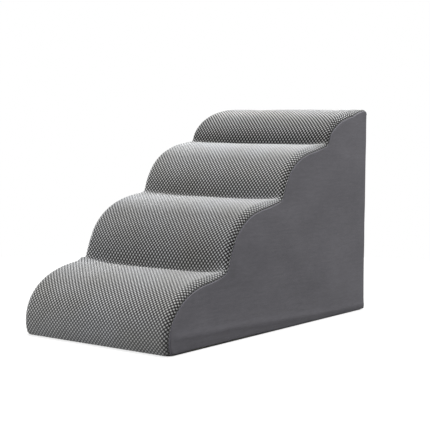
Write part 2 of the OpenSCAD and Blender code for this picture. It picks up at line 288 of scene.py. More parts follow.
def steps_outline(step=0.5, spread=5):
    """The steps from the floor in front to the back edge's top, as [y, z]."""
    z = np.linspace(BASE_TOP, NOSE_HEIGHT, 60)
    parts = [np.stack([-NOSE_OVERHANG * np.sin(math.pi / 2 * z / NOSE_HEIGHT), z], axis=1)]
    for k, (run, rise) in enumerate(zip(RUNS, RISES)):
        if k == 0:
            start, low = (-NOSE_OVERHANG, NOSE_HEIGHT), 0
            size = (run + NOSE_OVERHANG, rise - NOSE_HEIGHT)
        else:
            start, low = foot(k), math.asin((CREASE_RADIUS / rise) ** (NOSE_POWER / 2))
            size = (run, rise)
            parts.append(arc(start + CREASE_RADIUS * np.array([-1, 1]), CREASE_RADIUS, -90, 0))
        kept = BACK_TOP_RADIUS if k == len(RUNS) - 1 else CREASE_RADIUS
        parts.append(nose(start, size, low, math.acos((kept / size[0]) ** (NOSE_POWER / 2))))
    back_centre = [LENGTH - BACK_TOP_RADIUS, HEIGHT - BACK_TOP_RADIUS]
    parts.append(arc(back_centre, BACK_TOP_RADIUS, 90, 0))
    line = np.concatenate(parts)
    apart = np.linalg.norm(np.diff(line, axis=0), axis=1) > 1e-4
    line = line[np.concatenate([[True], apart])]
    along = distances(line)
    even = np.linspace(0, along[-1], round(along[-1] / step) + 1)
    return softened(between(even, along, line), spread)


class Outline:
    """The softened outline, with places along it measured from the floor in front."""

    def __init__(self, line):
        self.line = line
        self.along = distances(line)
        self.length = self.along[-1]
        way = np.gradient(line, axis=0)
        way = way / np.linalg.norm(way, axis=1)[:, None]
        self.inward = np.stack([way[:, 1], -way[:, 0]], axis=1)
        from_creases = [np.linalg.norm(line - foot(k), axis=1) for k in range(1, len(RUNS))]
        self.creases = [self.along[np.argmin(away)] for away in from_creases]
        near_crease = 1 - eased(np.min(from_creases, axis=0) / CREASE_BLEND)
        to_back = (line[:, 0] - LENGTH + EDGE_BLEND) / (EDGE_BLEND - BACK_TOP_RADIUS)
        to_back = np.clip(to_back, 0, 1)
        side_radius = EDGE_RADIUS + (CREASE_EDGE_RADIUS - EDGE_RADIUS) * near_crease
        self.rounding = side_radius + (BACK_EDGE_RADIUS - side_radius) * to_back
        self.seam = SEAM_TURN + (BACK_TURN - SEAM_TURN) * to_back
        self.seam -= FOOT_SEAM_SHIFT * (1 - eased(self.along / FOOT_SEAM_REACH))

    def at(self, s):
        """[y, z], the direction inward and the edge's rounding at places along the outline."""
        p, n = between(s, self.along, self.line), between(s, self.along, self.inward)
        n = n / np.linalg.norm(n, axis=-1)[..., None]
        return p, n, np.interp(s, self.along, self.rounding)

    def seam_turn(self, s):
        """How far round the edge the seam lies, from 0 facing as the steps do."""
        return np.interp(s, self.along, self.seam)

    def shift(self, s, side):
        """How far the sewn edge lies under the outline, as it bridges creases and fills noses."""
        total = 0 * s
        for crease, bridged in zip(self.creases, BRIDGE):
            total = total - bridged * hump(s, crease, BRIDGE_REACH)
        # The right edge is full on the first two noses, and the left one before the first crease
        first = self.creases[0]
        right = 2 * hump(s, 170, 62) + 2.5 * hump(s, first + 150, 50)
        left = 5 * hump(s, first - 17, 10)
        return total - np.where(side > 0, right, left)

    def sag(self, s):
        """How far the middle of the strip is drawn down into the creases."""
        total = 0 * s
        for crease, drawn in zip(self.creases, SAG):
            total = total + drawn * hump(s, crease, SAG_REACH)
        return total


STEPS = Outline(steps_outline())


def rim_point(p, n, r, turn, depth):
    """A point round the edge, from turn 0 facing as the steps do to a quarter turn sideways."""
    reach = r - depth
    inset = r - reach * np.cos(turn)
    return np.stack([HALF - r + reach * np.sin(turn), p[..., 0] + n[..., 0] * inset,
                     p[..., 1] + n[..., 1] * inset], axis=-1)


def strip_point(s, across, depth):
    """A point of the strip at a place along it and a distance across it, over the edge."""
    p, n, r = STEPS.at(s)
    flat = HALF - r
    outer = np.clip(np.abs(across) / flat, 0, 1)
    p = p + n * (STEPS.shift(s, np.sign(across)) * outer ** EDGE_POWER)[..., None]
    p = p - np.array([0, 1]) * (STEPS.sag(s) * (1 - outer ** SAG_POWER))[..., None]
    beyond = np.maximum(np.abs(across) - flat, 0)
    point = rim_point(p, n, r, beyond / r, depth)
    point[..., 0] = (point[..., 0] - flat + np.minimum(np.abs(across), flat)) * np.sign(across)
    return point


# Pieces of the cover

def seam_gap_turn(r):
    return np.arcsin(SEAM_GAP / r)


def weave_height(u, v):
    """The weave's relief from 0 in a pit to 1 on a nub, over two diagonals in cells."""
    ridges = [np.abs(np.cos(math.pi * across)) ** WAVE_POWER for across in (u, v)]
    return (sum(ridges) / 2) ** RELIEF_POWER


def cover_softness(s, x):
    """How far the strip lies under its plain shape, from slack."""
    return STRIP_SLACK * waves(x, s, 3, 150) * (1 - np.abs(x / HALF) ** 4)


def tread_cover(materials):
    rows = CELL_PARTS * round(STEPS.length / CELL_LENGTH)
    columns = CELL_PARTS * CELLS_ACROSS
    j, i = np.meshgrid(np.arange(rows + 1), np.arange(columns + 1), indexing="ij")
    s = STEPS.length * j / rows
    share = 2 * i / columns - 1
    r = STEPS.at(s)[2]
    reach = HALF - r + r * (STEPS.seam_turn(s) - seam_gap_turn(r))
    to_seam = reach * (1 - np.abs(share))
    to_end = np.minimum(s, STEPS.length - s)
    relief = weave_height((i + j) / CELL_PARTS, (i - j) / CELL_PARTS)
    # The nubs are pressed flat at the edges, which turn in
    pressed, seam_width, end_width = 0.35, 1.2, 2
    kept = eased(to_seam / seam_width) * eased(to_end / end_width)
    raised = RELIEF * (relief - MEAN_RELIEF) * (pressed + (1 - pressed) * kept)
    depth = cover_softness(s, share * HALF) - raised
    depth += 0.8 * hump(to_seam, 0, 1.5) + 0.6 * hump(to_end, 0, 2)
    outer = strip_point(s, share * reach, depth)
    number = numbered(*s.shape)

    # The lining has few columns, so each row's end is closed by fans of triangles
    lining = 8
    lined = np.linspace(0, columns, lining + 1).astype(int)
    j2, i2 = np.meshgrid(np.arange(rows + 1), lined, indexing="ij")
    s2, share2 = s[j2, i2], share[j2, i2]
    soft = np.minimum(cover_softness(s2, share2 * HALF), 0)
    inner = strip_point(s2, share2 * reach[j2, i2], TREAD_FABRIC + soft)
    number2 = s.size + numbered(*s2.shape)

    faces = grid_faces(number) + grid_faces(number2)
    for side in (0, -1):
        faces += grid_faces(np.stack([number[:, side], number2[:, side]], axis=1))
    step = columns // lining
    half = step // 2
    for row in (0, -1):
        for k in range(lining):
            edge = number[row, k * step:(k + 1) * step + 1]
            a, b = number2[row, k], number2[row, k + 1]
            faces += [(a, edge[m], edge[m + 1]) for m in range(half)] + [(a, edge[half], b)]
            faces += [(b, edge[m], edge[m + 1]) for m in range(half, step)]
    uv = np.concatenate([np.stack(pair, axis=-1).reshape(-1, 2) for pair in ((i, j), (i2, j2))])
    return make("tread_cover_strip", listed(outer, inner), faces, materials, uv=uv / CELL_PARTS)


def filled(r, turn):
    """How far a side stands over the rounding near its seam, so that it stays flat there."""
    return 0.9 * r * (1 - np.sin(turn))


def floor_rims():
    """A side's edge along the floor and up the back: [y, z], way in, rounding, first turn."""
    front_turn = SEAM_TURN + seam_gap_turn(EDGE_RADIUS)
    back_turn = BACK_TURN + seam_gap_turn(BACK_EDGE_RADIUS)
    into_back = (-1, FOOT_RADIUS / BACK_EDGE_RADIUS)
    return [
        ((0, BASE_TOP), (1, FOOT_RADIUS / EDGE_RADIUS), EDGE_RADIUS, front_turn),
        ((EDGE_BLEND / 3, BASE_TOP), (0, 1), FOOT_RADIUS, FOOT_TURN),
        ((LENGTH - EDGE_BLEND / 2, BASE_TOP), (0, 1), FOOT_RADIUS, FOOT_TURN),
        ((LENGTH, BASE_TOP), into_back, BACK_EDGE_RADIUS, back_turn),
        ((LENGTH, COVER_TOP), (-1, 0), BACK_EDGE_RADIUS, back_turn),
    ]


def side_softness(y, z, seed):
    """How far a side lies under its plain face: slack, and the fold that tapers to the back."""
    depth = -0.6 * waves(y, z, seed, 240) - 0.25 * waves(y, z, seed + 1, 90)
    fold = FOLD_HEIGHT - FOLD_FALL * eased(y / LENGTH)
    below = np.clip(1 - (z - BASE_TOP) / fold, 0, 1)
    tucked = TUCK_DEPTH - TUCK_FALL * eased(y / LENGTH)
    return depth + tucked * below ** 2 - 0.9 * hump(z, fold + 3, 8)


def side_panel(name, side, seed, materials):
    """A side's cloth, over rays that run down and back from the steps."""
    count, rows, turns = 330, 56, 7
    way = np.array([0.55, -0.84])
    low_z, back_y = BASE_TOP + FOOT_RADIUS, LENGTH - BACK_EDGE_RADIUS
    corner_reach, seam_reach, dive_share, dive = 14, 30, 0.35, 0.9

    def ray(s):
        p, n, r = STEPS.at(s)
        p = p + n * STEPS.shift(s, side)[..., None]
        corner = 1 - eased(s / corner_reach)[..., None]
        n = n + (np.array([1, FOOT_RADIUS / EDGE_RADIUS]) - n) * corner
        top = p + n * r[..., None]
        return p, n, r, top, (top[..., 1] - low_z) / -way[1], (back_y - top[..., 0]) / way[0]

    # One ray is moved so that it ends in the corner between the floor and the back
    s = np.linspace(0, STEPS.length, count)
    down, back = ray(s)[-2:]
    k = np.argmax(down > back)
    s[k] = np.interp(0, [(down - back)[k - 1], (down - back)[k]], [s[k - 1], s[k]])
    p, n, r, top, down, back = ray(s)
    far = np.maximum(np.minimum(down, back), 0)
    end = top + far[:, None] * way
    share = np.linspace(0, 1, rows + 1)
    share = (share + eased(share)) / 2
    seam = STEPS.seam_turn(s) + seam_gap_turn(r)

    def soft(points, to_seam):
        slack = side_softness(points[..., 0], points[..., 1], seed)
        return slack * eased(0.3 + to_seam / seam_reach)

    def layer(under):
        inside = top[:, None] + share[None, :, None] * (end - top)[:, None]
        slack = soft(inside, far[:, None] * share[None] * 0.7)
        depth = under + (slack if under == 0 else np.maximum(slack, 0))
        return np.concatenate([HALF - depth[..., None], inside], axis=-1)

    def rim(fraction, under):
        """A ring at a share of the way from the seam to the flat face."""
        turn = seam + (math.pi / 2 - seam) * fraction
        upper_depth = lower_depth = np.full(count, float(under))
        if under == 0:
            upper_depth = dive * np.clip(1 - fraction / dive_share, 0, 1) ** 2
            upper_depth = upper_depth - filled(r, turn) * eased(fraction / dive_share)
            upper_depth = upper_depth + soft(top, 0)
            lower_depth = soft(end, seam_reach)
        upper = rim_point(p, n, r, turn, upper_depth)
        along_floor, up_back = end[:, 0] - EDGE_RADIUS, back_y - EDGE_RADIUS + end[:, 1] - low_z
        run = np.where(down <= back, along_floor, up_back)
        knots, shallow, deep = [], [], []
        for at, into, rounding, first in floor_rims():
            at, into = np.array(at, float), np.array(into, float)
            turn = first + (math.pi / 2 - first) * fraction
            shallow.append(rim_point(at, into, rounding, turn, 0))
            deep.append(rim_point(at, into, rounding, turn, 1))
            flat = at + into * rounding
            knots.append(flat[0] - EDGE_RADIUS + max(flat[1] - low_z, 0))
        shallow, deep = np.array(shallow), np.array(deep)
        into = between(run, knots, deep - shallow) * lower_depth[:, None]
        return np.concatenate([upper, (between(run, knots, shallow) + into)[-2:0:-1]])

    blocks = []

    def add(block):
        """Keep a block of points, and number them."""
        first = sum(b[..., 0].size for b in blocks)
        blocks.append(block)
        return first + numbered(*block.shape[:-1])

    def flat_layer(under, loop):
        """Numbers of the flat part's points, whose edge is the last loop round the rim."""
        inside = layer(under)
        index = np.zeros(inside.shape[:2], int)
        index[:, 0], index[0], index[-1] = loop[:count], loop[0], loop[count - 1]
        index[1:-1, -1] = loop[:count - 1:-1]
        index[1:-1, 1:-1] = add(inside[1:-1, 1:-1])
        return index

    outer = np.stack([add(rim(f, 0)) for f in np.linspace(0, 1, turns)])
    inner = np.stack([add(rim(f, SIDE_FABRIC)) for f in (0, 0.5, 1)])
    faces = grid_faces(outer, closed=True) + grid_faces(inner, closed=True)
    faces += grid_faces(np.stack([outer[0], inner[0]]), closed=True)
    faces += grid_faces(flat_layer(0, outer[-1])) + grid_faces(flat_layer(SIDE_FABRIC, inner[-1]))
    return make(name, listed(*blocks) * (side, 1, 1), faces, materials)


def rounded_outline(low, high, radius, parts=12):
    """Points round a rectangle with rounded corners, anticlockwise."""
    left, front = low + radius
    right, rear = high - radius
    corners = [((right, front), -90), ((right, rear), 0), ((left, rear), 90), ((left, front), 180)]
    return np.concatenate([arc(c, radius, a, a + 90, parts + 1) for c, a in corners])


def base_panel(materials):
    """The fabric underneath, with rows of small grip dots that stand on the floor."""
    low = np.array([BASE_SETBACK - HALF, BASE_SETBACK])
    high = np.array([HALF - BASE_SETBACK, LENGTH - BASE_SETBACK])
    dot_height, hem = 0.7, 0.35
    corner = EDGE_RADIUS - BASE_SETBACK
    loops = []
    for inset, z in ((hem, dot_height), (0, dot_height + hem), (0, BASE_FABRIC),
                     (0.5, BASE_TOP - 0.03), (9, BASE_FABRIC)):
        loops.append(level(rounded_outline(low + inset, high - inset, corner - inset), z))
    faces = tube_faces(numbered(len(loops), len(loops[0])))
    points, groups = [np.concatenate(loops)], [0] * len(faces)

    sides, radius, pitch = 10, 2.3, 17
    levels = ((1, dot_height + 0.2), (1, dot_height - 0.15), (0.8, 0.2), (0.45, 0.03))
    dot = np.concatenate([level(circle(sides) * radius * wide, z) for wide, z in levels])
    dot_faces = tube_faces(numbered(len(levels), sides))
    count = len(points[0])
    for row, y in enumerate(np.arange(low[1] + 16, high[1] - 14, pitch * 0.866)):
        for x in np.arange(low[0] + 14 + (row % 2) * pitch / 2, high[0] - 12, pitch):
            points.append(dot + (x, y, 0))
            faces += [[count + v for v in f] for f in dot_faces]
            groups += [1] * len(dot_faces)
            count += len(dot)
    return make("base_panel_cloth", np.concatenate(points), faces, materials, groups=groups)


# Back of the cover: the flap, its border, the zip's tapes and the stitching

def route(along, off):
    """x and z at a distance along the zip's route, and off to its outer side."""
    along = np.asarray(along, float)
    mirrored = along > ROUTE_LENGTH / 2
    a = np.where(mirrored, ROUTE_LENGTH - along, along)
    t = math.pi + np.clip((a - LEG_LENGTH) / BEND_LENGTH, 0, 1) * math.pi / 2
    x = ZIP_CORNER - LEG_X + (ZIP_CORNER + off) * np.cos(t)
    z = ZIP_HEIGHT + ZIP_CORNER + (ZIP_CORNER + off) * np.sin(t)
    z = z + np.maximum(LEG_LENGTH - a, 0)
    x = x + np.maximum(a - LEG_LENGTH - BEND_LENGTH, 0)
    return np.where(mirrored, -x, x), z


def stations(step):
    """Distances along the route, closer together in its bends."""
    half = np.concatenate([np.arange(0, LEG_LENGTH, step),
                           LEG_LENGTH + np.linspace(0, BEND_LENGTH, 19),
                           np.arange(LEG_LENGTH + BEND_LENGTH + step, ROUTE_LENGTH / 2, step)])
    return np.concatenate([half, [ROUTE_LENGTH / 2], ROUTE_LENGTH - half[::-1]])


def foot_tuck(z):
    """The back's lowest part leans in a little."""
    return 1.4 * eased((24 - z) / 22)


def hemmed(x, z, to_edge, seed):
    """How far the back's cloth lies behind its plain face, folded and stitched at the zip."""
    hem = 0.9
    rolled = hem * (1 - np.sqrt(np.clip(1 - np.clip(1 - to_edge / hem, 0, 1) ** 2, 0, 1)))
    stitched = 0.45 * hump(to_edge, HEM_STITCH, 0.9)
    ridge = -0.25 * eased((10 - to_edge) / 3)
    slack = -0.5 * waves(x, z, seed, 170) * eased((to_edge - 8) / 50)
    return rolled + stitched + ridge + slack + foot_tuck(z)


def sheet(name, x, z, front, behind, materials, uv=None):
    """A closed sheet facing the back, with y for its face and for what lies behind."""
    points = listed(*(np.stack([x, y, z], axis=-1) for y in (front, behind)))
    return make(name, points, sheet_faces(numbered(*x.shape)), materials, uv=uv)


def back_sheet(name, x, z, depth, materials):
    return sheet(name, x, z, LENGTH - depth, LENGTH - BACK_FABRIC - foot_tuck(z), materials)


def spaced(low, high, step, fine, reach):
    """Places from low to high, closer together near both ends."""
    ends = np.cumsum(np.concatenate([[0], np.geomspace(fine, step, 9)]))
    ends = ends[ends < reach]
    count = max(2, round((high - low - 2 * ends[-1]) / step))
    middle = np.linspace(low + ends[-1], high - ends[-1], count)
    return np.concatenate([low + ends[:-1], middle, (high - ends[:-1])[::-1]])


def back_flap(materials):
    """The cloth inside the zip, with its lower corners rounded."""
    half = LEG_X - ZIP_SLOT / 2
    low, radius = ZIP_HEIGHT + ZIP_SLOT / 2, ZIP_CORNER - ZIP_SLOT / 2
    x = spaced(-half, half, 5, 0.3, 24)
    corner = np.clip(np.abs(x) - (half - radius), 0, radius)
    bottom = low + radius - np.sqrt(radius ** 2 - corner ** 2)
    rise = spaced(0, 1, 0.011, 0.0007, 0.05)
    z = bottom[:, None] + (COVER_TOP - bottom)[:, None] * rise[None]
    x, z = np.broadcast_arrays(x[:, None], z)
    a, b = np.abs(x) - (half - radius), (low + radius) - z
    to_edge = radius - np.where((a > 0) & (b > 0), np.hypot(a, b), np.maximum(a, b))
    return back_sheet("back_flap", x, z, hemmed(x, z, to_edge, 31), materials)


def back_frame(materials):
    """The strip of cloth between the zip and the side panels."""
    along = stations(4)
    reach = (BACK_EDGE_RADIUS - SIDE_FABRIC) * math.sin(BACK_TURN) - SEAM_GAP
    outer_x = HALF - BACK_EDGE_RADIUS + reach
    a = np.minimum(along, ROUTE_LENGTH - along)
    t = np.clip((a - LEG_LENGTH) / BEND_LENGTH, 0, 1) * math.pi / 2
    side = (outer_x - LEG_X + ZIP_CORNER) / np.maximum(np.cos(t), 1e-6)
    under = (ZIP_HEIGHT + ZIP_CORNER - BASE_TOP) / np.maximum(np.sin(t), 1e-6)
    far = np.minimum(side, under) - ZIP_CORNER
    share = spaced(0, 1, 0.09, 0.02, 0.4)
    off = ZIP_SLOT / 2 + share[None] * (far - ZIP_SLOT / 2)[:, None]
    x, z = route(along[:, None], off)
    to_seam = far[:, None] - off
    depth = hemmed(x, z, off - ZIP_SLOT / 2, 37) + 0.9 * hump(to_seam, 0, 1.4)
    return back_sheet("back_frame", x, z, depth, materials)


def zip_tape(name, side, materials):
    """A woven tape with a thicker edge beside the teeth."""
    along = stations(4)
    near = CHAIN_WIDTH / 2 + SLIDER_PLAY
    across = np.array([0, 0.15, 0.5, 1.1, 1.5, 2.1, 2.4, 3.2, 6, 9, TAPE_WIDTH - 0.3, TAPE_WIDTH])
    lift = np.array([-0.1, 0.12, 0.26, 0.26, 0.14, 0.14, 0.24, 0.24, 0.24, 0.24, 0.22, 0])
    x, z = route(along[:, None], side * (near + across)[None])
    front = TAPE_PLANE + lift[None] - foot_tuck(z)
    behind = TAPE_PLANE - TAPE_THICKNESS / 2 + 0.02 - foot_tuck(z)
    uv = np.stack(np.broadcast_arrays(across[None], along[:, None]), axis=-1).reshape(-1, 2)
    uv = np.tile(uv, (2, 1)) / MM_PER_M
    return sheet(name, x, z, front, behind, materials, uv)


def end_tabs(materials):
    """Two folded patches of cloth over the ends of the tapes."""
    blocks, faces, count = [], [], 0
    for side in (-1, 1):
        a, b = np.meshgrid(np.linspace(-1, 1, 29), np.linspace(-1, 1, 23), indexing="ij")
        a, b = np.sign(a) * np.abs(a) ** 0.8, np.sign(b) * np.abs(b) ** 0.8
        bulge = 1 - 0.05 * (a * b) ** 4
        x = side * LEG_X + a * bulge * TAB_HALF
        z = COVER_TOP - TAB_HEIGHT / 2 + b * bulge * TAB_HEIGHT / 2
        edge = np.minimum((1 - np.abs(a)) * TAB_HALF, (1 - np.abs(b)) * TAB_HEIGHT / 2)
        puffed = 0.25 + 0.7 * np.sqrt(np.clip(edge / 1.2, 0, 1))
        y = LENGTH + TAB_THICKNESS * puffed - 0.35 * hump(edge, TAB_STITCH, 0.7)
        blocks += [np.stack([x, y, z], -1), np.stack([x, 0 * x + LENGTH + 0.05, z], -1)]
        faces += sheet_faces(count + numbered(*x.shape))
        count += 2 * x.size
    return make("zipper_end_patches", listed(*blocks), faces, materials)


def stitch_line(path, step, gap):
    """[start, end] of each stitch along a line of [x, y, z] points."""
    along = distances(path)
    count = int(along[-1] / step)
    first = (np.arange(count) + 0.5 * gap / step) * along[-1] / count
    last = first + (step - gap) * along[-1] / count / step
    return [between(at, along, path) for at in (first, last)]


def stitches(name, lines, radius, materials):
    """Short threads that dip into the cloth at both ends, on cloth that faces the back."""
    sides = 6
    cosines, sines = circle(sides).T
    # Rings of a thread: share of its length, width and lift, both in thread radii
    rings = ((0, 0.5, -0.9), (0.12, 0.9, 0.1), (0.35, 1, 0.55),
             (0.65, 1, 0.55), (0.88, 0.9, 0.1), (1, 0.5, -0.9))
    starts, ends = (np.concatenate([line[k] for line in lines]) for k in (0, 1))
    way = ends - starts
    out = np.array([0, 1, 0])
    across = np.cross(way / np.linalg.norm(way, axis=1)[:, None], out)
    threads = []
    for share, wide, lift in rings:
        sideways = across[:, None] * (wide * cosines)[None, :, None]
        outward = out * (lift + wide * sines)[None, :, None]
        threads.append(starts[:, None] + way[:, None] * share + radius * (sideways + outward))
    one, size = tube_faces(numbered(len(rings), sides)), len(rings) * sides
    faces = [[v + k * size for v in f] for k in range(len(starts)) for f in one]
    return make(name, listed(np.stack(threads, axis=1)), faces, materials)


def back_stitching(materials):
    """Topstitching along both sides of the zip and round its end tabs."""
    lines = []
    along = stations(2)
    inside = (along > 20) & (along < ROUTE_LENGTH - 20)
    for side in (1, -1):
        x, z = route(along[inside], side * (ZIP_SLOT / 2 + HEM_STITCH))
        path = np.column_stack([x, LENGTH + 0.25 - 0.4 - foot_tuck(z), z])
        lines.append(stitch_line(path, 3.6, 0.9))
    half = TAB_HALF - TAB_STITCH
    low, high = COVER_TOP - TAB_HEIGHT + TAB_STITCH, COVER_TOP - TAB_STITCH
    y = LENGTH + TAB_THICKNESS * 0.95 - 0.3
    for side in (-1, 1):
        left, right = side * LEG_X - half, side * LEG_X + half
        corners = [(left, y, low), (right, y, low), (right, y, high), (left, y, high)]
        for ends in zip(corners, corners[1:] + corners[:1]):
            lines.append(stitch_line(np.array(ends), 2.6, 0.7))
    return stitches("zipper_topstitching", lines, 0.3, materials)


# Foam

def foam_slab(name, k, materials):
    """A slab as high as its CAD node, whose front follows the steps."""
    low, high = (corner.z * MM_PER_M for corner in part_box(name))
    marks = [0] + STEPS.creases + [STEPS.length]
    p, n, _ = STEPS.at(np.linspace(marks[k], marks[k + 1], 90))
    q = p + n * (SLAB_INSET + 0.4)
    q = q[(q[:, 1] > low + 0.5) & (q[:, 1] < high - 0.3)]
    q = q[np.concatenate([[True], np.diff(np.maximum.accumulate(q[:, 0])) >= 0])]
    outline = np.concatenate([[(q[0, 0], low)], q, [(FOAM_BACK, high), (FOAM_BACK, low)]])
    half, soft = HALF - SLAB_SETBACK, 1.6
    centre = (outline.min(0) + outline.max(0)) / 2
    shrunk = outline + np.sign(centre - outline) * soft * 0.6
    loops = [upright(-half, shrunk), upright(soft - half, outline),
             upright(half - soft, outline), upright(half, shrunk)]
    faces = tube_faces(numbered(len(loops), len(outline)))
    return make(name + "_block", np.concatenate(loops), faces, materials, sharp=35)


def comfort_layer(materials):
    """The soft layer under the strip, in rings that run across the stairs."""
    play = 0.1
    stop = np.interp(FOAM_BACK, STEPS.line[:, 0], STEPS.along)
    s = np.linspace(0.5, stop - 10, 260)
    p, n, r = STEPS.at(s)
    edge = p + n * np.maximum(STEPS.shift(s, 1), 0)[:, None]
    turns = np.radians(np.linspace(0, 90, 7))
    outer = [rim_point(edge, n, r, turn, COMFORT_DEPTH + play) for turn in turns]
    for x in (0.8, 0.5, 0.2, 0):
        sag = (STEPS.sag(s) * (1 - x ** SAG_POWER))[:, None]
        sunk = p + n * (COMFORT_DEPTH + play) - np.array([0, 1]) * sag
        outer.insert(0, upright(x * (HALF - EDGE_RADIUS), sunk))
    outer = np.stack(outer, axis=1)
    inner = p + n * (COMFORT_DEPTH + COMFORT_THICKNESS - play)
    inner = upright(HALF - COMFORT_DEPTH - play, inner)
    side = np.concatenate([outer, inner[:, None]], axis=1)
    ring = np.concatenate([side[:, :0:-1] * (-1, 1, 1), side], axis=1)
    faces = tube_faces(numbered(*ring.shape[:2]))
    return make("comfort_layer_foam", listed(ring), faces, materials, sharp=40)


# Materials

class Shader:
    """A node material round one Principled shader."""

    def __init__(self, name, **sockets):
        self.material = bpy.data.materials.new(name)
        self.material.use_nodes = True
        self.nodes, self.links = self.material.node_tree.nodes, self.material.node_tree.links
        self.surface = self.nodes["Principled BSDF"]
        for key, value in sockets.items():
            self.set(key.replace("_", " "), value)

    def put(self, socket, value):
        if isinstance(value, bpy.types.NodeSocket):
            self.links.new(value, socket)
        else:
            socket.default_value = value

    def set(self, name, value):
        self.put(self.surface.inputs[name], value)

    def add(self, kind, inputs, **settings):
        node = self.nodes.new("ShaderNode" + kind)
        for key, value in settings.items():
            setattr(node, key, value)
        for key, value in inputs.items():
            self.put(node.inputs[key], value)
        return node

    def math(self, operation, *values):
        return self.add("Math", dict(enumerate(values)), operation=operation).outputs[0]

    def times(self, a, b):
        return self.math("MULTIPLY", a, b)

    def place(self, stretch=(1, 1, 1)):
        where = self.add("TexCoord", {}).outputs["Object"]
        return self.add("Mapping", {"Vector": where, "Scale": stretch}).outputs[0]

    def weave_place(self):
        """In cells on the strip and in metres on the tapes."""
        return self.add("UVMap", {}, uv_map="weave").outputs[0]

    def split(self, where):
        return self.add("SeparateXYZ", {"Vector": where}).outputs

    def noise(self, where, scale, detail=3, roughness=0.55):
        inputs = {"Vector": where, "Scale": scale, "Detail": detail, "Roughness": roughness}
        return self.add("TexNoise", inputs).outputs["Fac"]

    def ramp(self, share, *stops):
        """Colours or greys between places from 0 to 1."""
        node = self.add("ValToRGB", {"Fac": share})
        marks = node.color_ramp.elements
        while len(marks) < len(stops):
            marks.new(0.5)
        for mark, (at, colour) in zip(marks, stops):
            mark.position = at
            mark.color = (*((colour,) * 3 if isinstance(colour, (int, float)) else colour), 1)
        return node.outputs[0]

    def tint(self, a, b, factor=1.0, mode="MULTIPLY"):
        inputs = {"Factor": factor, "A": a, "B": b}
        node = self.add("Mix", inputs, data_type="RGBA", blend_type=mode)
        return node.outputs["Result"]

    def varied(self, colour, share, low, high):
        """A colour that a noise makes darker or lighter, or shifts in hue."""
        return self.tint(colour, self.ramp(share, (0.3, low), (0.7, high)))

    def bump(self, height, distance, strength=1.0, normal=None):
        inputs = {"Height": height, "Distance": distance, "Strength": strength}
        if normal is not None:
            inputs["Normal"] = normal
        return self.add("Bump", inputs).outputs[0]

    def finish(self, colour, normal, roughness=None):
        self.set("Base Color", colour)
        self.set("Normal", normal)
        if roughness is not None:
            self.set("Roughness", roughness)
        return self.material


# Greys of the textured fabric by height in its weave, from the pits up to the nubs: the yarns' own
# light and dark, with painted shade deepening the pits
CRISP = ((0.0, 0.008), (0.45, 0.015), (0.66, 0.044), (0.84, 0.128), (1.0, 0.28))
LOW_CONTRAST = ((0.0, 0.018), (0.4, 0.04), (0.7, 0.085), (1.0, 0.15))
STARK = ((0.0, 0.002), (0.52, 0.004), (0.72, 0.045), (0.86, 0.27), (1.0, 0.58))
# Brightness of its sheen by the same height
SOFT_FUZZ = ((0.4, 0.42), (0.66, 0.68), (0.9, 1.0))
STARK_FUZZ = ((0.45, 0.02), (0.7, 0.25), (0.9, 1.0))
# Where the weave is crisp and where stark along the whole strip, and the painted shade and light
# that darken and lighten it there
CRISP_PART = ((0.0, 0.75), (0.07, 0.85), (0.2, 1))
STARK_PART = ((0.76, 0.2), (0.8, 0.75), (0.86, 1), (0.91, 1), (0.95, 0))
# Painted shade over two stretches of the strip, with painted light a little past the second
PAINTED_SHADING = ((0.26, 1.0), (0.34, 0.84), (0.41, 0.84), (0.46, 1.0), (0.74, 1.0),
         (0.79, 0.55), (0.85, 0.6), (0.89, 1.12), (0.96, 1.0))
# Where it is stark across the strip, beside the seams
STARK_EDGES = ((0.0, 0.38), (0.04, 0.38), (0.075, 0), (0.925, 0), (0.96, 0.38), (1.0, 0.38))
# Painted light: a light band on the front's foot for light thrown up by the floor, given from mm
# up the strip, and painted sheen at the rear of each tread
PAINTED_FOOT_LIGHT = [(0, 0.22), (85, 0)]
PAINTED_REAR_SHEEN = (0.16, 0.38, 0.54, 0.3)
PAINTED_LIGHT_COLOUR = (0.33, 0.34, 0.352, 1)


def painted_light_places():
    """Strength of the painted light at places along the strip."""
    marks = list(PAINTED_FOOT_LIGHT)
    for end, most in zip((*STEPS.creases, STEPS.length), PAINTED_REAR_SHEEN):
        start = end - (145 if end < STEPS.length else 95)
        marks += [(start, 0), (end - 60, most), (end - 14, 0.55 * most), (end + 3, 0)]
    return [(place / STEPS.length, share) for place, share in marks if place <= STEPS.length]


